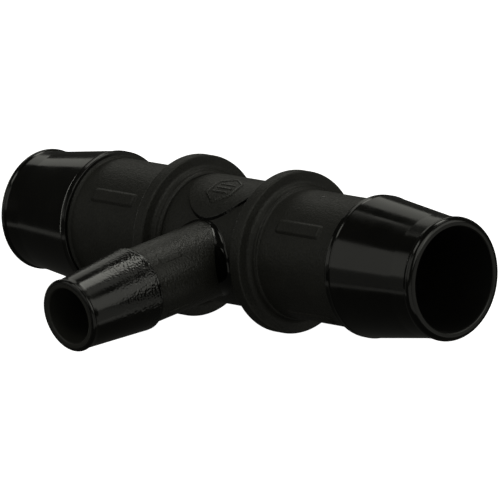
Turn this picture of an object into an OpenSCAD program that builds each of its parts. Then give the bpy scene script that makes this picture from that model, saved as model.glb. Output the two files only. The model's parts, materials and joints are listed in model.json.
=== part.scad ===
// Barbed reducing tee connector for hose: two equal run ends and one smaller branch.
// The run lies along X, the branch points along -Y, and the two bores meet at the origin.
// The real fitting is one injection moulding; its zones are modelled as separate solids
// that meet face to face.

/* [Run] */
// Length of the run from tip to tip
run_length = 100; // [95:0.5:120]
// Inner diameter of the run bore
run_bore_d = 17.3; // [15:0.1:17.7]
// Outer diameter of the plain shank that the hose grips
run_shank_d = 20.4; // [19.8:0.1:20.8]
// Largest diameter of the run barb, at its land
run_barb_d = 23.6; // [22.5:0.1:24.6]
// Distance from the tip back to the barb's shoulder
run_barb_length = 18.4; // [15:0.1:18.9]

/* [Barrel and collars] */
// Outer diameter of the barrel between the collars
barrel_d = 20.7; // [20.4:0.1:21]
// Outer diameter of the collars that stop the hoses
collar_d = 27; // [25:0.1:29]
// Width of a collar's rim
collar_width = 2.3; // [1.5:0.05:3.5]
// Distance from the branch axis to the collar's inner face
collar_gap = 10.65; // [10:0.05:11.5]

/* [Branch] */
// Length of the branch, from the run axis to its tip
branch_length = 40; // [39:0.1:46]
// Inner diameter of the branch bore
branch_bore_d = 9.4; // [8:0.1:10]
// Outer diameter of the branch shank
branch_shank_d = 12.3; // [11.8:0.1:12.6]
// Largest diameter of the branch barb, at its land
branch_barb_d = 14.1; // [13.4:0.1:15]
// Distance from the branch tip back to its shoulder
branch_barb_length = 14.8; // [11:0.1:16]

/* [Details] */
// Radius of the round marking pad on top of the barrel
pad_radius = 8.1; // [6:0.1:8.8]
// Height of the marking pad above the barrel
pad_height = 0.4; // [0.2:0.05:0.6]
// Length of an index rib on a run shank
run_rib_length = 10.7; // [6:0.1:12]
// Height of the run's index ribs above their shank
run_rib_height = 0.4; // [0.2:0.05:0.6]
// Height of the branch's index ribs above its shank
branch_rib_height = 0.15; // [0.1:0.05:0.4]

/* [Hidden] */
$fn = 96;

body_colour = [0.05, 0.052, 0.048];
polished_colour = [0.02, 0.02, 0.018];

half_run = run_length / 2;
run_bore_r = run_bore_d / 2;
run_shank_r = run_shank_d / 2;
run_barb_r = run_barb_d / 2;
run_shoulder_x = half_run - run_barb_length;
run_neck_x = half_run - 4.7;
run_neck_r = 10.15;
run_tip_r = 10.22;
run_bead_round = 1;
run_back_round = 0.15;
run_land = 1.05;
run_fillet = 0.5;

barrel_r = barrel_d / 2;
collar_r = collar_d / 2;
hub_r = 11.05;
hub_width = 1.4;
hub_round = 0.5;
cove = 0.9;
collar_outer_x = collar_gap + collar_width;
barrel_half = collar_gap - hub_width;
shank_start_x = collar_outer_x + hub_width;

branch_bore_r = branch_bore_d / 2;
branch_shank_r = branch_shank_d / 2;
branch_barb_r = branch_barb_d / 2;
branch_shoulder_y = branch_length - branch_barb_length;
branch_neck_y = branch_length - 1.4;
branch_neck_r = 6.02;
branch_tip_r = 6.17;
branch_bead_round = 0.5;
branch_back_round = 0.15;
branch_land = 0.7;
branch_fillet = 0.3;

root_r = branch_shank_r + 0.95;
root_end_y = barrel_r + 2.4;
root_clip_z = branch_shank_r + 0.25;

run_rib_width = 2.9;
run_rib_round = 0.7;
run_rib_centre_x = 22.5;
branch_rib_length = 5;
branch_rib_width = 1.6;
branch_rib_round = 0.4;
branch_rib_centre_y = 20.45;

emblem_y = -2.7;
emblem_r = 3.4;
emblem_line = 0.42;
emblem_height = 0.15;
emblem_bar_length = 3.4;
emblem_bar_pitch = 1.05;
nub_r = 0.75;
nub_height = 0.2;
nub_dimple_r = 0.4;
nub_x = 21.2;
round_edge = 0.15;
bead_start = -40;
mouth = 0.3;
arc_steps = 6;

// Points of an arc about (cx, cy), from angle a to angle b, for outlines in (radius, height)
function arc(cx, cy, r, a, b) =
    [for (i = [0 : arc_steps]) let (t = a + (b - a) * i / arc_steps)
        [cx + r * cos(t), cy + r * sin(t)]];

// Turns an outline in (radius, distance along the axis) about the X axis, towards +X
module turn_x() {
    rotate([0, 90, 0]) rotate_extrude() children();
}

// The same about the branch axis, towards -Y
module turn_branch() {
    rotate([90, 0, 0]) rotate_extrude() children();
}

// Outline of one barb with its bore, from shoulder s to tip t along the axis. The cone runs
// from the land to the neck, and the neck runs on to a small rounded bead of radius tip.
module barb_outline(s, t, bore, barb, neck, tip, land, back_round, bead_round) {
    polygon(concat(
        [[bore, s]],
        arc(barb - back_round, s + back_round, back_round, -90, 0),
        [[barb, s + land], neck],
        arc(tip - bead_round, t - bead_round, bead_round, bead_start, 90),
        arc(bore + mouth, t - mouth, mouth, 90, 180)
    ));
}

// Outline of a shank from its start to the shoulder of its barb, where a fillet flares it
module shank_outline(start, shoulder, bore, shank, fillet) {
    polygon(concat(
        [[bore, start], [shank, start]],
        arc(shank + fillet, shoulder - fillet, fillet, 180, 90),
        [[bore, shoulder]]
    ));
}

module centre_barrel() {
    color(body_colour) difference() {
        rotate([0, 90, 0]) cylinder(r = barrel_r, h = 2 * barrel_half, center = true);
        rotate([0, 90, 0]) cylinder(r = run_bore_r, h = 2 * barrel_half + 2, center = true);
        rotate([90, 0, 0]) cylinder(r = branch_bore_r, h = barrel_r + 2);
    }
}

// A collar with a rounded hub on each side; inner_r is the barrel side, towards smaller x
module collar_outline() {
    bottom = barrel_half;
    top = shank_start_x;
    polygon(concat(
        [[run_bore_r, bottom], [barrel_r, bottom]],
        arc(hub_r - hub_round, bottom + hub_round, hub_round, -90, 0),
        arc(hub_r + cove, collar_gap - cove, cove, 180, 90),
        [[collar_r - round_edge, collar_gap], [collar_r, collar_gap + round_edge]],
        [[collar_r, collar_outer_x - round_edge], [collar_r - round_edge, collar_outer_x]],
        arc(hub_r + cove, collar_outer_x + cove, cove, 270, 180),
        arc(hub_r - hub_round, top - hub_round, hub_round, 0, 90),
        [[run_bore_r, top]]
    ));
}

module right_collar() {
    color(body_colour) turn_x() collar_outline();
}

module left_collar() {
    mirror([1, 0, 0]) right_collar();
}

module right_shank() {
    color(body_colour) turn_x()
        shank_outline(shank_start_x, run_shoulder_x, run_bore_r, run_shank_r, run_fillet);
}

module left_shank() {
    mirror([1, 0, 0]) right_shank();
}

module right_barb() {
    color(polished_colour) turn_x()
        barb_outline(run_shoulder_x, half_run, run_bore_r, run_barb_r, [run_neck_r, run_neck_x],
            run_tip_r, run_land, run_back_round, run_bead_round);
}

module left_barb() {
    mirror([1, 0, 0]) right_barb();
}

// The flared foot of the branch, saddled onto the barrel
module branch_root() {
    color(polished_colour) difference() {
        intersection() {
            union() {
                rotate([90, 0, 0]) cylinder(r = branch_shank_r, h = root_end_y);
                rotate([90, 0, 0]) cylinder(r = root_r, h = barrel_r);
                translate([0, -barrel_r, 0]) rotate([90, 0, 0])
                    cylinder(r1 = root_r, r2 = branch_shank_r, h = root_end_y - barrel_r);
            }
            translate([-root_r - 1, -root_end_y - 1, -root_clip_z])
                cube([2 * root_r + 2, root_end_y + 2, 2 * root_clip_z]);
        }
        rotate([0, 90, 0]) cylinder(r = barrel_r, h = 2 * barrel_half, center = true);
        rotate([90, 0, 0]) cylinder(r = branch_bore_r, h = root_end_y + 2);
    }
}

module branch_shank() {
    color(body_colour) turn_branch()
        shank_outline(root_end_y, branch_shoulder_y, branch_bore_r, branch_shank_r, branch_fillet);
}

module branch_barb() {
    color(polished_colour) turn_branch()
        barb_outline(branch_shoulder_y, branch_length, branch_bore_r, branch_barb_r,
            [branch_neck_r, branch_neck_y], branch_tip_r, branch_land, branch_back_round,
            branch_bead_round);
}

// A block of height h over a rectangle with rounded corners, centred on the Z axis
module rounded_block(length, width, corner, h) {
    for (i = [-1, 1], j = [-1, 1])
        translate([i * (length / 2 - corner), j * (width / 2 - corner), 0]) cylinder(r = corner, h = h);
    translate([corner - length / 2, -width / 2, 0]) cube([length - 2 * corner, width, h]);
    translate([-length / 2, corner - width / 2, 0]) cube([length, width - 2 * corner, h]);
}

// One rib lying along X on top of a shank of radius r, its outer face curved like the shank
module rib(r, length, width, corner, height) {
    difference() {
        intersection() {
            rotate([0, 90, 0]) cylinder(r = r + height, h = length + 1, center = true);
            rounded_block(length, width, corner, r + 1);
        }
        rotate([0, 90, 0]) cylinder(r = r, h = length + 2, center = true);
    }
}

module right_shank_ribs() {
    color(body_colour) for (a = [45, 135, 225, 315])
        rotate([a, 0, 0]) translate([run_rib_centre_x, 0, 0])
            rib(run_shank_r, run_rib_length, run_rib_width, run_rib_round, run_rib_height);
}

module left_shank_ribs() {
    mirror([1, 0, 0]) right_shank_ribs();
}

module branch_shank_ribs() {
    color(body_colour) for (a = [45, 135, 225, 315])
        rotate([0, a, 0]) translate([0, -branch_rib_centre_y, 0]) rotate([0, 0, 90])
            rib(branch_shank_r, branch_rib_length, branch_rib_width, branch_rib_round, branch_rib_height);
}

// Keeps the part of its children that lies between radius r and radius r + h about the run
module shell_above(r, h) {
    difference() {
        intersection() {
            children();
            rotate([0, 90, 0]) cylinder(r = r + h, h = 2 * barrel_half, center = true);
        }
        rotate([0, 90, 0]) cylinder(r = r, h = 2 * barrel_half + 1, center = true);
    }
}

module marking_pad() {
    color(body_colour) shell_above(barrel_r, pad_height) cylinder(r = pad_radius, h = barrel_r + 2);
}

// A plain mark: a six-sided frame round three bars
module pad_emblem() {
    color(body_colour) shell_above(barrel_r + pad_height, emblem_height)
        translate([0, emblem_y, 0]) linear_extrude(barrel_r + 2) {
            rotate(90) difference() {
                circle(r = emblem_r, $fn = 6);
                circle(r = emblem_r - emblem_line, $fn = 6);
            }
            for (i = [-1 : 1])
                translate([-emblem_bar_length / 2, i * emblem_bar_pitch - emblem_line / 2])
                    square([emblem_bar_length, emblem_line]);
        }
}

// The trace of the moulding gate on top of the right shank: a low stub with a dimple
module gate_nub() {
    color(body_colour) translate([nub_x, 0, 0]) difference() {
        cylinder(r = nub_r, h = run_shank_r + nub_height);
        translate([0, 0, run_shank_r]) cylinder(r1 = 0, r2 = nub_dimple_r, h = nub_height);
        rotate([0, 90, 0]) cylinder(r = run_shank_r, h = 2 * nub_r + 1, center = true);
    }
}

centre_barrel();
left_collar();
right_collar();
left_shank();
right_shank();
left_barb();
right_barb();
branch_root();
branch_shank();
branch_barb();
left_shank_ribs();
right_shank_ribs();
branch_shank_ribs();
marking_pad();
pad_emblem();
gate_nub();
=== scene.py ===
import json
import math

import bmesh
import bpy
from mathutils import Matrix, Vector


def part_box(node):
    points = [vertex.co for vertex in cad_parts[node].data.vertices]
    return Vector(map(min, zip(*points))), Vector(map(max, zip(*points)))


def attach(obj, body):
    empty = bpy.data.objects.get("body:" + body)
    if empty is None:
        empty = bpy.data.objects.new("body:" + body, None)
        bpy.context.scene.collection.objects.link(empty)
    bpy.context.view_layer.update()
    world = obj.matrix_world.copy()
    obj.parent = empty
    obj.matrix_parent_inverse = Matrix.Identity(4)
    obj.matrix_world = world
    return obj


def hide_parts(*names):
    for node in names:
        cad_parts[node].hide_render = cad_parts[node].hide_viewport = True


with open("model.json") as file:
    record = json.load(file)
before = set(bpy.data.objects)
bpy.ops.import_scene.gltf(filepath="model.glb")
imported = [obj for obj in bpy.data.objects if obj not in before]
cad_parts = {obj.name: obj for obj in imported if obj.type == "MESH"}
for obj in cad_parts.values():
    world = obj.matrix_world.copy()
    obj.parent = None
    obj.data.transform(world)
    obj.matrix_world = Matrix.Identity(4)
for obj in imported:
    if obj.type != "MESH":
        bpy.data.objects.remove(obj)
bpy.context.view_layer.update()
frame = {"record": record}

# Looks of a barbed reducing tee for hose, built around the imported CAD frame.
# Lengths are millimetres until a mesh is made. The run lies along X, the branch along -Y.

MM = 0.001


def box_mm(node):
    """Lowest and highest corner of a CAD node, in millimetres."""
    low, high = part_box(node)
    return low / MM, high / MM


def mount_radius(name):
    """Radius of one of the record's mounts, in millimetres."""
    mounts = {m["name"]: m for m in frame["record"]["mounts"]}
    return mounts[name]["dims"]["r_mm"]


# ---------------------------------------------------------------- sizes from the frame
RUN_BORE_R = mount_radius("run_bore")
BRANCH_BORE_R = mount_radius("branch_bore")
HALF_RUN = box_mm("right_barb")[1].x
BARB_R = box_mm("right_barb")[1].z
SHOULDER_X = box_mm("right_barb")[0].x
SHANK_R = box_mm("right_shank")[1].z
HUB_IN_X = box_mm("right_collar")[0].x
HUB_OUT_X = box_mm("right_collar")[1].x
COLLAR_R = box_mm("right_collar")[1].z
BARREL_R = box_mm("centre_barrel")[1].z
BRANCH_END = -box_mm("branch_barb")[0].y
BRANCH_SHOULDER = -box_mm("branch_barb")[1].y
BRANCH_BARB_R = box_mm("branch_barb")[1].z
BRANCH_SHANK_R = box_mm("branch_shank")[1].z
RUN_RIB_START = box_mm("right_shank_ribs")[0].x
RUN_RIB_END = box_mm("right_shank_ribs")[1].x
BRANCH_RIB_START = -box_mm("branch_shank_ribs")[1].y
BRANCH_RIB_END = -box_mm("branch_shank_ribs")[0].y
PAD_R = box_mm("marking_pad")[1].x
PAD_TOP = box_mm("marking_pad")[1].z
EMBLEM_LOW, EMBLEM_HIGH = box_mm("pad_emblem")
NUB_X = (box_mm("gate_nub")[0].x + box_mm("gate_nub")[1].x) / 2
NUB_R = box_mm("gate_nub")[1].y
NUB_TOP = box_mm("gate_nub")[1].z

# ---------------------------------------------------------------- sizes of the finer shapes
TURN_STEPS, NUB_TURN_STEPS = 192, 48
ARC_STEPS = 8
SADDLE_STEPS = 14
SUPPORT, SUPPORT_PITCH = 0.06, 1.6
WELD, DEGENERATE = 1e-4, 1e-5
SHARP_ANGLE, NUB_SHARP_ANGLE = math.radians(32), math.radians(20)

BACK_ROUND, LAND = 0.16, 1.05
RIDGE, RIDGE_RISE, RIDGE_ROUND = 0.2, 0.05, 0.08
SHOULDER_FILLET = 0.5
NECK_X, NECK_R = 45.3, 10.15
TIP_R, BEAD_ROUND, BEAD_BACK_ANGLE = 10.22, 1.0, 130
NECK_FILLET = 3.0
MOUTH_ROUND = 0.3
BRANCH_BACK_ROUND, BRANCH_LAND, BRANCH_RIDGE_RISE = 0.13, 0.7, 0.015
BRANCH_SHOULDER_FILLET = 0.3
BRANCH_NECK, BRANCH_NECK_R = 38.6, 6.02
BRANCH_TIP_R, BRANCH_BEAD_ROUND = 6.17, 0.5

FLANGE_IN_X = 10.65
FLANGE_OUT_X = 12.95
FLANGE_EDGE = 0.3
HUB_R = 11.05
HUB_ROUND = 0.5
HUB_COVE = 0.9
SHANK_FILLET = 0.3
SHANK_START = HUB_OUT_X + 2 * SHANK_FILLET

FOOT_LOW, FOOT_HIGH = 0.15, 2.35
FOOT_NARROW, FOOT_WIDE = 0.2, 0.95

# a rib's shape is its width, height, corner radius and soft margin
RIB_TURNS = (45, 135, 225, 315)
RIB_SHAPE, BRANCH_RIB_SHAPE = (2.9, 0.38, 0.8, 0.7), (1.6, 0.13, 0.4, 0.4)
RIB_SINK = 0.04
PAD_SINK = 0.12
PAD_RIM, PAD_INSET = 0.08, 0.02
EMBLEM_LINE, EMBLEM_EDGE = 0.42, 0.12
EMBLEM_BAR_LENGTH = 3.4
EMBLEM_BAR_PITCH = 1.05
NUB_FLOOR_R, NUB_CREST_IN, NUB_CREST_OUT = 0.34, 0.5, 0.6
NUB_EDGE, NUB_SINK = 0.02, 0.3


# ---------------------------------------------------------------- outlines
def arc(cx, cy, r, start, end, steps=ARC_STEPS):
    """Corners (along, radius, no fillet) of an arc about (cx, cy); angle 0 points along, 90 outwards."""
    turn = [math.radians(start + (end - start) * i / steps) for i in range(steps + 1)]
    return [(cx + r * math.cos(t), cy + r * math.sin(t), 0.0) for t in turn]


def rounded(corners):
    """Outline through (along, radius, fillet) corners, each corner turned into an arc of its fillet."""
    out = []
    count = len(corners)
    for i, (a, r, fillet) in enumerate(corners):
        if not fillet:
            out.append(Vector((a, r)))
            continue
        here = Vector((a, r))
        before = Vector(corners[i - 1][:2]) - here
        after = Vector(corners[(i + 1) % count][:2]) - here
        half = before.angle(after) / 2
        reach = fillet / math.tan(half)
        middle = here + (before.normalized() + after.normalized()).normalized() * fillet / math.sin(half)
        start = here + before.normalized() * reach - middle
        end = here + after.normalized() * reach - middle
        sweep = start.angle_signed(end)
        for k in range(ARC_STEPS + 1):
            out.append(middle + Matrix.Rotation(-sweep * k / ARC_STEPS, 2) @ start)
    return out


def supported(outline):
    """Adds points just inside the ends of each long straight, so smooth shading stays at the corners."""
    out = []
    for p, q in zip(outline, outline[1:] + outline[:1]):
        out.append(p)
        length = (q - p).length
        if length > 4 * SUPPORT:
            step = (q - p) / length
            inner = length - 2 * SUPPORT
            count = max(1, round(inner / SUPPORT_PITCH))
            out += [p + step * (SUPPORT + inner * k / count) for k in range(count + 1)]
    return out


# ---------------------------------------------------------------- meshes
def full_turn(steps=TURN_STEPS):
    """Evenly spaced angles once round an axis."""
    return [2 * math.pi * k / steps for k in range(steps)]


def add_grid(bm, rows, closed=False):
    """Adds the quads between neighbouring rows of points; closed joins each row's end to its start."""
    made = [[bm.verts.new(p) for p in row] for row in rows]
    for low, high in zip(made, made[1:]):
        last = len(low) if closed else len(low) - 1
        for k in range(last):
            n = (k + 1) % len(low)
            bm.faces.new((low[k], low[n], high[n], high[k]))


def to_object(name, bm, material, nodes, sharp=SHARP_ANGLE):
    """Welds and shades a mesh given in millimetres, and hands it to the frame in place of CAD nodes."""
    bmesh.ops.remove_doubles(bm, verts=bm.verts, dist=WELD)
    bmesh.ops.dissolve_degenerate(bm, edges=bm.edges, dist=DEGENERATE)
    bmesh.ops.recalc_face_normals(bm, faces=bm.faces)
    bmesh.ops.scale(bm, verts=bm.verts, vec=(MM, MM, MM))
    mesh = bpy.data.meshes.new(name)
    bm.to_mesh(mesh)
    bm.free()
    mesh.shade_smooth()
    mesh.set_sharp_from_angle(angle=sharp)
    mesh.materials.append(material)
    obj = bpy.data.objects.new(name, mesh)
    bpy.context.scene.collection.objects.link(obj)
    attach(obj, "root")
    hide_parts(*nodes)


def about_run(a, r, turn):
    """Point at distance a along +X and radius r; turn 0 is -Y and 90 degrees is +Z."""
    return Vector((a, -r * math.cos(turn), r * math.sin(turn)))


def about_run_left(a, r, turn):
    """The same point on the left half of the run, at distance a along -X."""
    return about_run(-a, r, turn)


def about_branch(a, r, turn):
    """Point at distance a along -Y and radius r; turn 0 is +X and 90 degrees is +Z."""
    return Vector((r * math.cos(turn), -a, r * math.sin(turn)))


def lathe(outline, place):
    """Turns a closed outline of (along, radius) points about an axis."""
    bm = bmesh.new()
    rows = [[place(p.x, p.y, t) for t in full_turn()] for p in outline + outline[:1]]
    add_grid(bm, rows, closed=True)
    return bm


def barb_outline(shoulder, tip, bore, barb_r, neck, tip_r, land, back_round, bead_round, ridge_rise):
    """Shoulder, land between two low ridges, straight cone, neck, small bead and mouth of a barb."""
    bead = arc(tip - bead_round, tip_r - bead_round, bead_round, BEAD_BACK_ANGLE, 0, 2 * ARC_STEPS)
    return supported(rounded(
        [(shoulder, bore, 0), (shoulder, barb_r, back_round),
         (shoulder + 2 * RIDGE, barb_r - ridge_rise, RIDGE_ROUND),
         (shoulder + land - RIDGE, barb_r - ridge_rise, RIDGE_ROUND),
         (shoulder + land, barb_r, RIDGE_ROUND),
         (shoulder + land + RIDGE, barb_r - 2 * ridge_rise, RIDGE_ROUND),
         (*neck, NECK_FILLET)] + bead + [(tip, bore, MOUTH_ROUND)]
    ))


def collar_outline():
    """Hub, flange, hub and the first short stretch of the shank."""
    return supported(rounded([
        (HUB_IN_X, RUN_BORE_R, 0),
        (HUB_IN_X, HUB_R, HUB_ROUND),
        (FLANGE_IN_X, HUB_R, HUB_COVE),
        (FLANGE_IN_X, COLLAR_R, FLANGE_EDGE),
        (FLANGE_OUT_X, COLLAR_R, FLANGE_EDGE),
        (FLANGE_OUT_X, HUB_R, HUB_COVE),
        (HUB_OUT_X, HUB_R, HUB_ROUND),
        (HUB_OUT_X, SHANK_R, SHANK_FILLET),
        (SHANK_START, SHANK_R, 0),
        (SHANK_START, RUN_BORE_R, 0),
    ]))


def shoulder_fillet(shank_r, shoulder, fillet):
    """Points of the flare from a shank up to the back of its barb."""
    return arc(shoulder - fillet, shank_r + fillet, fillet, -90, 0)


def shank_outline():
    """Plain shank of the run, flared at its end to the barb."""
    return supported(rounded(
        [(SHANK_START, RUN_BORE_R, 0), (SHANK_START, SHANK_R, 0)]
        + shoulder_fillet(SHANK_R, SHOULDER_X, SHOULDER_FILLET)
        + [(SHOULDER_X, RUN_BORE_R, 0)]
    ))


def barrel_mesh():
    """Tube between the collars, pierced by the branch's bore.

    Rings of faces run from the hole out to the border of a patch; plain rows go round the back.
    """
    bm = bmesh.new()
    side_steps, ring_rows, back_rows = 24, 18, 84
    patch = math.radians(62)
    xs = [HUB_IN_X * (2 * k / side_steps - 1) for k in range(side_steps + 1)]
    turns = [patch * (2 * k / side_steps - 1) for k in range(side_steps + 1)]
    border = [(x, -patch) for x in xs[:-1]] + [(HUB_IN_X, t) for t in turns[:-1]]
    border += [(x, patch) for x in xs[:0:-1]] + [(-HUB_IN_X, t) for t in turns[:0:-1]]

    def patch_row(radius, mix):
        """Points round the patch, from the hole's rim at mix 0 to the border at mix 1."""
        row = []
        for x, t in border:
            around = math.atan2(t / patch, x / HUB_IN_X)
            hole_x = BRANCH_BORE_R * math.cos(around)
            hole_turn = math.asin(BRANCH_BORE_R * math.sin(around) / radius)
            row.append(about_run(hole_x + (x - hole_x) * mix, radius, hole_turn + (t - hole_turn) * mix))
        return row

    span = 2 * math.pi - 2 * patch
    for radius in (BARREL_R, RUN_BORE_R):
        add_grid(bm, [patch_row(radius, j / ring_rows) for j in range(ring_rows + 1)], closed=True)
        add_grid(bm, [[about_run(x, radius, patch + span * j / back_rows) for x in xs]
                      for j in range(back_rows + 1)])
    add_grid(bm, [patch_row(BARREL_R, 0), patch_row(RUN_BORE_R, 0)], closed=True)
    around = turns[:-1] + [patch + span * j / back_rows for j in range(back_rows)]
    for x in (-HUB_IN_X, HUB_IN_X):
        add_grid(bm, [[about_run(x, r, t) for t in around] for r in (BARREL_R, RUN_BORE_R)], closed=True)
    return bm


def barrel_depth(radius, turn):
    """Distance along -Y at which a line beside the branch axis meets the barrel."""
    return math.sqrt(BARREL_R ** 2 - (radius * math.sin(turn)) ** 2)


def foot_mesh():
    """Polished flare at the branch's foot: a fillet that is tall at the sides and shallow on top."""
    bm = bmesh.new()
    rows = []
    turns = full_turn()
    heights = [FOOT_LOW + (FOOT_HIGH - FOOT_LOW) * math.cos(t) ** 2 for t in turns]
    widths = [FOOT_NARROW + (FOOT_WIDE - FOOT_NARROW) * math.cos(t) ** 2 for t in turns]
    for j in range(SADDLE_STEPS + 1):
        sweep = math.pi / 2 * j / SADDLE_STEPS
        row = []
        for t, h, w in zip(turns, heights, widths):
            r = BRANCH_SHANK_R + w * (1 - math.sin(sweep))
            row.append(about_branch(barrel_depth(r, t) + h * (1 - math.cos(sweep)), r, t))
        rows.append(row)
    rows.append([about_branch(barrel_depth(BRANCH_SHANK_R, t), BRANCH_SHANK_R, t) for t in turns])
    rows.append(rows[0])
    add_grid(bm, rows, closed=True)
    return bm


def branch_tube_mesh():
    """Plain shank of the branch, its start cut to the barrel and its end flared to the barb."""
    bm = bmesh.new()
    turns = full_turn()
    plain_end = BRANCH_SHOULDER - BRANCH_SHOULDER_FILLET
    flare = shoulder_fillet(BRANCH_SHANK_R, BRANCH_SHOULDER, BRANCH_SHOULDER_FILLET)

    def saddle_row(radius, end, mix):
        """Points round the branch, from the barrel's surface at mix 0 to a flat end at mix 1."""
        return [about_branch(barrel_depth(radius, t) * (1 - mix) + end * mix, radius, t) for t in turns]

    rows = [saddle_row(BRANCH_SHANK_R, plain_end, j / SADDLE_STEPS) for j in range(SADDLE_STEPS)]
    rows += [[about_branch(a, r, t) for t in turns] for a, r, _ in flare]
    rows += [saddle_row(BRANCH_BORE_R, BRANCH_SHOULDER, j / SADDLE_STEPS)
             for j in range(SADDLE_STEPS, -1, -1)]
    rows.append(rows[0])
    add_grid(bm, rows, closed=True)
    return bm


def edge_rise(distance, round_):
    """Share of full height at a distance in from an edge rounded over round_."""
    if distance >= round_:
        return 1.0
    return math.sqrt(max(0.0, 1 - (1 - distance / round_) ** 2))


def rib_inset(a, side, start, end, width, corner):
    """Distance in from the rim of a rectangle with rounded corners; negative outside it."""
    middle = (start + end) / 2
    dx = abs(a - middle) - ((end - start) / 2 - corner)
    dy = abs(side) - (width / 2 - corner)
    if dx > 0 and dy > 0:
        return corner - math.hypot(dx, dy)
    return corner - max(dx, dy)


def add_rib(bm, place, radius, start, end, middle, width, height, corner, soft):
    """Low rib along an axis with soft shoulders and round corners, its foot sunk into the shank."""
    along_steps, across_steps = 72, 32
    foot, top = [], []
    for i in range(along_steps + 1):
        a = start + (end - start) * (1 - math.cos(math.pi * i / along_steps)) / 2
        foot_row, top_row = [], []
        for j in range(across_steps + 1):
            side = -math.cos(math.pi * j / across_steps) * width / 2
            inset = rib_inset(a, side, start, end, width, corner)
            mix = min(1.0, max(0.0, inset / soft))
            rise = mix * mix * (3 - 2 * mix) * (height + RIB_SINK) - RIB_SINK
            turn = middle + side / radius
            top_row.append(place(a, radius + rise, turn))
            foot_row.append(place(a, radius - 2 * RIB_SINK, turn))
        foot.append(foot_row)
        top.append(top_row)
    add_grid(bm, top)
    add_grid(bm, foot)
    rims = []
    for rows in (top, foot):
        near, far = [row[0] for row in rows], [row[-1] for row in rows[-2::-1]]
        rims.append(near + rows[-1][1:] + far + rows[0][-2:0:-1])
    add_grid(bm, rims, closed=True)


def ribs_mesh(place, radius, start, end, shape):
    """Low ribs round a shank of the given radius, one at each of RIB_TURNS."""
    bm = bmesh.new()
    for turn in RIB_TURNS:
        add_rib(bm, place, radius, start, end, math.radians(turn), *shape)
    return bm


def on_barrel(x, y, r):
    """Point above (x, y) at distance r from the run axis."""
    return Vector((x, y, math.sqrt(max(0.0, r * r - y * y))))


def pad_mesh():
    """Round pad that follows the barrel, with a rounded rim and a wall set in just under it."""
    bm = bmesh.new()
    rings, rim_steps = 26, 6
    turns = full_turn()
    flat_r = PAD_R - PAD_RIM
    profile = [(flat_r * j / rings, PAD_TOP) for j in range(1, rings + 1)]
    for k in range(1, rim_steps + 1):
        t = math.pi / 2 * k / rim_steps
        profile.append((flat_r + PAD_RIM * math.sin(t), PAD_TOP - PAD_RIM + PAD_RIM * math.cos(t)))
    profile.append((PAD_R - PAD_INSET, PAD_TOP - 2 * PAD_RIM))
    profile.append((PAD_R - PAD_INSET, BARREL_R - PAD_SINK))
    rows = [[on_barrel(p * math.cos(t), p * math.sin(t), r) for t in turns] for p, r in profile]
    add_grid(bm, rows, closed=True)
    under = [[on_barrel(p * math.cos(t), p * math.sin(t), BARREL_R - PAD_SINK) for t in turns]
             for p, _ in profile[:rings:5]] + [rows[-1]]
    add_grid(bm, under, closed=True)
    for r, row in ((PAD_TOP, rows[0]), (BARREL_R - PAD_SINK, under[0])):
        centre = bm.verts.new(on_barrel(0, 0, r))
        ring = [bm.verts.new(p) for p in row]
        for k in range(TURN_STEPS):
            bm.faces.new((centre, ring[k], ring[(k + 1) % TURN_STEPS]))
    return bm


def raised_bar(bm, start, end, width, low, high, round_):
    """Low rounded bar on the pad from start to end, both (x, y)."""
    along = Vector(end) - Vector(start)
    length = along.length
    along = along / length
    across = Vector((-along.y, along.x))
    along_steps, across_steps = 40, 10
    top, foot = [], []
    for i in range(along_steps + 1):
        u = (1 - math.cos(math.pi * i / along_steps)) / 2 * length
        top_row, foot_row = [], []
        for j in range(across_steps + 1):
            side = ((1 - math.cos(math.pi * j / across_steps)) / 2 - 0.5) * width
            p = Vector(start) + along * u + across * side
            inset = min(u, length - u, width / 2 - abs(side))
            top_row.append(on_barrel(p.x, p.y, low + (high - low) * edge_rise(inset, round_)))
            foot_row.append(on_barrel(p.x, p.y, low))
        top.append(top_row)
        foot.append(foot_row)
    add_grid(bm, top)
    add_grid(bm, foot)


def emblem_mesh():
    """Generic mark: a six-sided frame round three bars."""
    bm = bmesh.new()
    centre = Vector((0, (EMBLEM_LOW.y + EMBLEM_HIGH.y) / 2))
    middle = (EMBLEM_HIGH.y - EMBLEM_LOW.y) / 2 - EMBLEM_LINE / 2
    corners = [centre + Vector((middle * math.sin(t), middle * math.cos(t))) for t in full_turn(6)]
    low = PAD_TOP - PAD_SINK
    for p, q in zip(corners, corners[1:] + corners[:1]):
        raised_bar(bm, p, q, EMBLEM_LINE, low, EMBLEM_HIGH.z, EMBLEM_EDGE)
    for k in (-1, 0, 1):
        y = centre.y + k * EMBLEM_BAR_PITCH
        raised_bar(bm, (-EMBLEM_BAR_LENGTH / 2, y), (EMBLEM_BAR_LENGTH / 2, y),
                   EMBLEM_LINE, low, EMBLEM_HIGH.z, EMBLEM_EDGE)
    return bm


def nub_mesh():
    """Gate trace: a low stub with a dimple in its middle."""
    bm = bmesh.new()
    turns = full_turn(NUB_TURN_STEPS)
    floor = SHANK_R + NUB_EDGE
    profile = [
        (NUB_EDGE, floor),
        (NUB_FLOOR_R, floor),
        (NUB_FLOOR_R + NUB_EDGE, floor + NUB_EDGE),
        (NUB_CREST_IN - 2 * NUB_EDGE, NUB_TOP - NUB_EDGE),
        (NUB_CREST_IN, NUB_TOP),
        (NUB_CREST_OUT, NUB_TOP),
        (NUB_CREST_OUT + 3 * NUB_EDGE, NUB_TOP - 1.5 * NUB_EDGE),
        (NUB_R, SHANK_R - NUB_EDGE),
        (NUB_R, SHANK_R - NUB_SINK),
    ]
    rows = [[Vector((NUB_X + p * math.cos(t), p * math.sin(t), z)) for t in turns] for p, z in profile]
    add_grid(bm, rows, closed=True)
    for row in (rows[0], rows[-1]):
        bm.faces.new([bm.verts.new(p) for p in row])
    return bm


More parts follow.
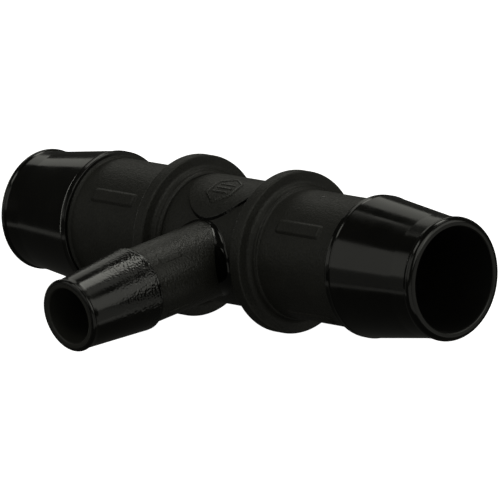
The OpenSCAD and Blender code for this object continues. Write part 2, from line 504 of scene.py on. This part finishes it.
# ---------------------------------------------------------------- materials
BODY_DARK, BODY_LIGHT = (0.0150, 0.0150, 0.0126), (0.0200, 0.0200, 0.0168)
POLISH_DARK, POLISH_LIGHT = (0.0024, 0.0024, 0.0019), (0.0038, 0.0038, 0.0030)
BORE_ROUGHNESS, MATTE_SPECULAR = 0.55, 0.42
# painted shade: the pad's wall is coloured near-black to stand in for the shade in the crease under its
# rim; these are its roughness and the width over which that painted shade blends in
PAD_WALL_ROUGHNESS, PAD_CREASE_SHADE_BLEND = 0.2, 0.04
DULL_BLEND_IN, DULL_BLEND_OUT = 0.15, 0.1
# axes across the run, the branch and the pad
RUN_ACROSS, BRANCH_ACROSS, PAD_ACROSS = (0, 1, 1), (1, 0, 1), (1, 1, 0)
# noise scales are per metre, depths of the bumps in metres
MATTE_CLOUD_SCALE, POLISH_CLOUD_SCALE, RING_SCALE, GRAIN_SCALE = 260, 180, 1900, 2600
CLOUD_DEPTH, RING_DEPTH, GRAIN_DEPTH = 0.00008, 0.00003, 0.00012
POLISH_GRAIN_DEPTH, SPECKLE_DEPTH = 0.00001, 0.00008


def new_material(name):
    """Material with its node tree and its shader."""
    material = bpy.data.materials.new(name)
    material.use_nodes = True
    tree = material.node_tree
    shader = tree.nodes["Principled BSDF"]
    return material, tree, shader


def noise(tree, coords, scale, detail, rough=0.55):
    """Noise from 0 to 1 at the given coordinates."""
    node = tree.nodes.new("ShaderNodeTexNoise")
    node.inputs["Scale"].default_value = scale
    node.inputs["Detail"].default_value = detail
    node.inputs["Roughness"].default_value = rough
    tree.links.new(coords, node.inputs["Vector"])
    return node.outputs["Fac"]


def ramp(tree, fac, low, high, low_at=0.3, high_at=0.7):
    """Value that goes from low to high as fac goes from low_at to high_at."""
    node = tree.nodes.new("ShaderNodeMapRange")
    node.inputs["From Min"].default_value = low_at
    node.inputs["From Max"].default_value = high_at
    node.inputs["To Min"].default_value = low
    node.inputs["To Max"].default_value = high
    tree.links.new(fac, node.inputs["Value"])
    return node.outputs["Result"]


def colour_mix(tree, fac, first, second):
    """Colour from first to second as fac goes from 0 to 1; first may be a node's output."""
    node = tree.nodes.new("ShaderNodeMix")
    node.data_type = "RGBA"
    if isinstance(first, tuple):
        node.inputs[6].default_value = (*first, 1)
    else:
        tree.links.new(first, node.inputs[6])
    node.inputs[7].default_value = (*second, 1)
    tree.links.new(fac, node.inputs[0])
    return node.outputs[2]


def bump(tree, height, strength, distance, below=None):
    """Normal of a rough skin, distance high in metres, on top of the skin below."""
    node = tree.nodes.new("ShaderNodeBump")
    node.inputs["Strength"].default_value = strength
    node.inputs["Distance"].default_value = distance
    tree.links.new(height, node.inputs["Height"])
    if below is not None:
        tree.links.new(below, node.inputs["Normal"])
    return node.outputs["Normal"]


def axis_coords(tree, coords, across):
    """Distance from the piece's axis, and the place along it where that is X (as +X) or Y (as -Y).

    The axis has 0 in across, the other two have 1.
    """
    masked = tree.nodes.new("ShaderNodeVectorMath")
    masked.operation = "MULTIPLY"
    masked.inputs[1].default_value = across
    tree.links.new(coords, masked.inputs[0])
    length = tree.nodes.new("ShaderNodeVectorMath")
    length.operation = "LENGTH"
    tree.links.new(masked.outputs[0], length.inputs[0])
    along = tree.nodes.new("ShaderNodeVectorMath")
    along.operation = "DOT_PRODUCT"
    along.inputs[1].default_value = (1 - across[0], across[1] - 1, 0)
    tree.links.new(coords, along.inputs[0])
    return length.outputs["Value"], along.outputs["Value"]


def ring_coords(tree, radius, along):
    """Coordinates that are the same all round the axis, for tool marks left by turning."""
    joined = tree.nodes.new("ShaderNodeCombineXYZ")
    tree.links.new(radius, joined.inputs["X"])
    tree.links.new(along, joined.inputs["Y"])
    return joined.outputs["Vector"]


def matte_nylon(name, roughness, grain=0.7, across=RUN_ACROSS, crease_shade_r=0):
    """Black glass-filled nylon from a turned and etched mould: fine grain, cloudy patches, faint rings.

    Where a radius from the Z axis is given, the skin beyond it is painted near-black and made shiny:
    painted shade for the crease round the pad's wall.
    """
    material, tree, shader = new_material(name)
    coords = tree.nodes.new("ShaderNodeTexCoord").outputs["Object"]
    cloud = noise(tree, coords, MATTE_CLOUD_SCALE, 4)
    fine = noise(tree, coords, GRAIN_SCALE, 1)
    radius, along = axis_coords(tree, coords, across)
    rings = noise(tree, ring_coords(tree, radius, along), RING_SCALE, 2, 0.6)
    skin = colour_mix(tree, ramp(tree, cloud, 0, 1), BODY_DARK, BODY_LIGHT)
    dull = ramp(tree, fine, roughness - 0.06, roughness + 0.08)
    if crease_shade_r:
        # painted shade: towards the pad's wall the colour goes to near-black, standing in for the shade in
        # the crease under the pad's rim
        from_pad_axis = axis_coords(tree, coords, PAD_ACROSS)[0]
        crease_shade = ramp(tree, from_pad_axis, 0, 1, (crease_shade_r - PAD_CREASE_SHADE_BLEND) * MM, crease_shade_r * MM)
        skin = colour_mix(tree, crease_shade, skin, POLISH_DARK)
        rough = tree.nodes.new("ShaderNodeMix")
        tree.links.new(crease_shade, rough.inputs[0])
        tree.links.new(dull, rough.inputs[2])
        rough.inputs[3].default_value = PAD_WALL_ROUGHNESS
        dull = rough.outputs[0]
    tree.links.new(skin, shader.inputs["Base Color"])
    tree.links.new(dull, shader.inputs["Roughness"])
    normal = bump(tree, cloud, 0.15, CLOUD_DEPTH)
    normal = bump(tree, rings, 0.3, RING_DEPTH, normal)
    normal = bump(tree, fine, grain, GRAIN_DEPTH, normal)
    tree.links.new(normal, shader.inputs["Normal"])
    shader.inputs["Specular IOR Level"].default_value = MATTE_SPECULAR
    return material


def polished_nylon(name, roughness, across, dull_r, dull_colour, speckled=None):
    """Black nylon from a polished mould, duller and in dull_colour within dull_r of the axis.

    Speckle, where speckled gives its (start, end) along the axis, fades out from start to end.
    """
    material, tree, shader = new_material(name)
    coords = tree.nodes.new("ShaderNodeTexCoord").outputs["Object"]
    radius, along = axis_coords(tree, coords, across)
    cloud = noise(tree, coords, POLISH_CLOUD_SCALE, 3)
    fine = noise(tree, coords, GRAIN_SCALE, 2, 0.6)
    inside = ramp(tree, radius, 1, 0, (dull_r - DULL_BLEND_IN) * MM, (dull_r + DULL_BLEND_OUT) * MM)
    skin = colour_mix(tree, ramp(tree, cloud, 0, 1), POLISH_DARK, POLISH_LIGHT)
    tree.links.new(colour_mix(tree, inside, skin, dull_colour), shader.inputs["Base Color"])
    dull = tree.nodes.new("ShaderNodeMath")
    dull.operation = "MAXIMUM"
    tree.links.new(ramp(tree, cloud, roughness - 0.03, roughness + 0.05), dull.inputs[0])
    tree.links.new(ramp(tree, inside, 0, BORE_ROUGHNESS, 0, 1), dull.inputs[1])
    tree.links.new(dull.outputs[0], shader.inputs["Roughness"])
    normal = bump(tree, cloud, 0.12, CLOUD_DEPTH)
    normal = bump(tree, fine, 0.12, POLISH_GRAIN_DEPTH, normal)
    if speckled:
        start, end = speckled
        speckle = noise(tree, coords, GRAIN_SCALE, 0)
        patch = tree.nodes.new("ShaderNodeMath")
        patch.operation = "MULTIPLY"
        tree.links.new(speckle, patch.inputs[0])
        tree.links.new(ramp(tree, along, 1, 0, start * MM, end * MM), patch.inputs[1])
        normal = bump(tree, patch.outputs[0], 1.0, SPECKLE_DEPTH, normal)
    tree.links.new(normal, shader.inputs["Normal"])
    return material


body = matte_nylon("nylon_body", 0.50)
branch_body = matte_nylon("nylon_branch_body", 0.37, 0.8, BRANCH_ACROSS)
mark_body = matte_nylon("nylon_mark_body", 0.28)
# the pad's material carries painted shade: near-black at its wall, for the crease under the rim
pad_body = matte_nylon("nylon_pad_body_painted_crease_shade", 0.50, crease_shade_r=PAD_R - 0.03)
polish = polished_nylon("nylon_polish", 0.13, RUN_ACROSS, RUN_BORE_R + 0.15, POLISH_LIGHT)
branch_polish = polished_nylon("nylon_branch_polish", 0.15, BRANCH_ACROSS, BRANCH_BORE_R + 0.8, BODY_LIGHT,
                               speckled=(BRANCH_SHOULDER, BRANCH_END - 3))
foot_polish = polished_nylon("nylon_foot_polish", 0.10, BRANCH_ACROSS, BRANCH_BORE_R, POLISH_LIGHT)

to_object("barrel_tube", barrel_mesh(), body, ["centre_barrel"])

run_barb = barb_outline(SHOULDER_X, HALF_RUN, RUN_BORE_R, BARB_R, (NECK_X, NECK_R), TIP_R, LAND,
                        BACK_ROUND, BEAD_ROUND, RIDGE_RISE)
for side, place in (("right", about_run), ("left", about_run_left)):
    ribs = ribs_mesh(place, SHANK_R, RUN_RIB_START, RUN_RIB_END, RIB_SHAPE)
    to_object(f"{side}_stop_collar", lathe(collar_outline(), place), body, [f"{side}_collar"])
    to_object(f"{side}_hose_shank", lathe(shank_outline(), place), body, [f"{side}_shank"])
    to_object(f"{side}_hose_barb", lathe(run_barb, place), polish, [f"{side}_barb"])
    to_object(f"{side}_index_ribs", ribs, body, [f"{side}_shank_ribs"])

to_object("branch_foot", foot_mesh(), foot_polish, ["branch_root"])
to_object("branch_tube", branch_tube_mesh(), branch_body, ["branch_shank"])
branch_barb = barb_outline(BRANCH_SHOULDER, BRANCH_END, BRANCH_BORE_R, BRANCH_BARB_R,
                           (BRANCH_NECK, BRANCH_NECK_R), BRANCH_TIP_R, BRANCH_LAND,
                           BRANCH_BACK_ROUND, BRANCH_BEAD_ROUND, BRANCH_RIDGE_RISE)
to_object("branch_hose_barb", lathe(branch_barb, about_branch), branch_polish, ["branch_barb"])
branch_ribs = ribs_mesh(about_branch, BRANCH_SHANK_R, BRANCH_RIB_START, BRANCH_RIB_END,
                        BRANCH_RIB_SHAPE)
to_object("branch_index_ribs", branch_ribs, branch_body, ["branch_shank_ribs"])

to_object("round_pad", pad_mesh(), pad_body, ["marking_pad"])
to_object("pad_mark", emblem_mesh(), mark_body, ["pad_emblem"])
to_object("gate_trace", nub_mesh(), foot_polish, ["gate_nub"], sharp=NUB_SHARP_ANGLE)

# ---------------------------------------------------------------- floor
# lengths here are metres
FLOOR_Z = -COLLAR_R * MM
FLOOR_R, FLOOR_BEND, WALL_HEIGHT = 3.0, 0.8, 2.5
FLOOR_TURN_STEPS, FLOOR_BEND_STEPS = 96, 12
FLOOR_WELD = 1e-6


def backdrop():
    """Pale floor that sweeps up into a round wall, all one surface."""
    bm = bmesh.new()
    flat_r = FLOOR_R - FLOOR_BEND
    profile = [(r, 0.0) for r in (0.02, 0.3, 1.0, flat_r)]
    for k in range(1, FLOOR_BEND_STEPS + 1):
        t = math.pi / 2 * k / FLOOR_BEND_STEPS
        profile.append((flat_r + FLOOR_BEND * math.sin(t), FLOOR_BEND - FLOOR_BEND * math.cos(t)))
    profile.append((FLOOR_R, WALL_HEIGHT))
    turns = full_turn(FLOOR_TURN_STEPS)
    rows = [[Vector((r * math.cos(t), r * math.sin(t), FLOOR_Z + z)) for t in turns] for r, z in profile]
    add_grid(bm, rows, closed=True)
    bm.faces.new([bm.verts.new(p) for p in rows[0]])
    bmesh.ops.remove_doubles(bm, verts=bm.verts, dist=FLOOR_WELD)
    mesh = bpy.data.meshes.new("floor")
    bm.to_mesh(mesh)
    bm.free()
    mesh.shade_smooth()
    material, _, shader = new_material("floor_pale")
    shader.inputs["Base Color"].default_value = (0.8, 0.8, 0.8, 1)
    shader.inputs["Roughness"].default_value = 0.9
    shader.inputs["Specular IOR Level"].default_value = 0.1
    shader.inputs["Emission Color"].default_value = (1, 1, 1, 1)
    shader.inputs["Emission Strength"].default_value = 1.05
    mesh.materials.append(material)
    obj = bpy.data.objects.new("floor", mesh)
    bpy.context.scene.collection.objects.link(obj)
    obj.visible_glossy = False
    obj.visible_diffuse = False
    obj.visible_shadow = False


backdrop()


# ---------------------------------------------------------------- light
LIGHT_COLOUR = (1.0, 1.0, 0.91)
LIGHT_DISTANCE = 1.2


def heading(azimuth, elevation):
    """Direction from the object; azimuth 0 is -Y and 90 is +X."""
    a, e = math.radians(azimuth), math.radians(elevation)
    return Vector((math.sin(a) * math.cos(e), -math.cos(a) * math.cos(e), math.sin(e)))


def soft_light(name, azimuth, elevation, width, height, radiance):
    """Rectangular soft light that faces the object; radiance is its brightness, whatever its size."""
    lamp = bpy.data.lights.new(name, "AREA")
    lamp.shape = "RECTANGLE"
    lamp.size = width
    lamp.size_y = height
    lamp.energy = radiance * width * height * math.pi
    lamp.color = LIGHT_COLOUR
    obj = bpy.data.objects.new(name, lamp)
    obj.location = heading(azimuth, elevation) * LIGHT_DISTANCE
    obj.rotation_euler = heading(azimuth, elevation).to_track_quat("Z", "Y").to_euler()
    obj.visible_camera = False
    bpy.context.scene.collection.objects.link(obj)


soft_light("back_softbox", -128, 29.5, 0.72, 0.53, 0.52)
soft_light("key", -174, 57, 0.5, 0.34, 2.7)
soft_light("key_side", 146, 50, 0.4, 0.4, 0.5)
soft_light("right_panel", 122, 18, 0.9, 0.66, 0.85)
soft_light("front_panel", -36, 27, 0.6, 0.72, 0.47)
soft_light("strip", -103, 53.5, 0.3, 0.06, 0.7)
soft_light("front_high", -10, 65, 0.6, 0.4, 1.5)
soft_light("fill_left", 10, 30, 0.8, 0.8, 0.45)
soft_light("fill_right", 90, 30, 0.8, 0.8, 0.95)
soft_light("low_middle", 50, -18, 1.2, 0.8, 0.3)
soft_light("low_right", 110, -18, 1.2, 0.8, 0.24)
soft_light("low_left", -34, 2, 0.5, 0.44, 0.1)
soft_light("edge_left", -47, -12.2, 1.1, 0.09, 0.25)
soft_light("rim_left", -97, 0, 0.5, 0.5, 1.3)
soft_light("edge_right", 128, -29.5, 1.0, 0.08, 0.18)

world = bpy.data.worlds.new("studio")
bpy.context.scene.world = world
world.use_nodes = True
world.node_tree.nodes["Background"].inputs["Color"].default_value = (0.033, 0.033, 0.03, 1)
bpy.context.scene.view_settings.view_transform = "Standard"

# ---------------------------------------------------------------- camera
# angles in degrees; distance and shifts to the picture's right and up in millimetres
CAMERA_AZIMUTH, CAMERA_ELEVATION, CAMERA_ROLL = 49.15, 16.74, -8.51
CAMERA_DISTANCE = 1653.63
CAMERA_RIGHT, CAMERA_UP = 0.805, -1.133
CAMERA_LENS, CAMERA_SENSOR = 720, 36

back = heading(CAMERA_AZIMUTH, CAMERA_ELEVATION)
right = Vector((math.cos(math.radians(CAMERA_AZIMUTH)), math.sin(math.radians(CAMERA_AZIMUTH)), 0))
up = back.cross(right)
roll = math.radians(CAMERA_ROLL)
right, up = right * math.cos(roll) + up * math.sin(roll), up * math.cos(roll) - right * math.sin(roll)
camera = bpy.data.objects.new("camera", bpy.data.cameras.new("camera"))
camera.data.lens = CAMERA_LENS
camera.data.sensor_width = CAMERA_SENSOR
camera.data.clip_start = 0.05
camera.data.clip_end = 50
camera.matrix_world = Matrix((right, up, back)).transposed().to_4x4()
camera.location = (right * CAMERA_RIGHT + up * CAMERA_UP + back * CAMERA_DISTANCE) * MM
bpy.context.scene.collection.objects.link(camera)
bpy.context.scene.camera = camera
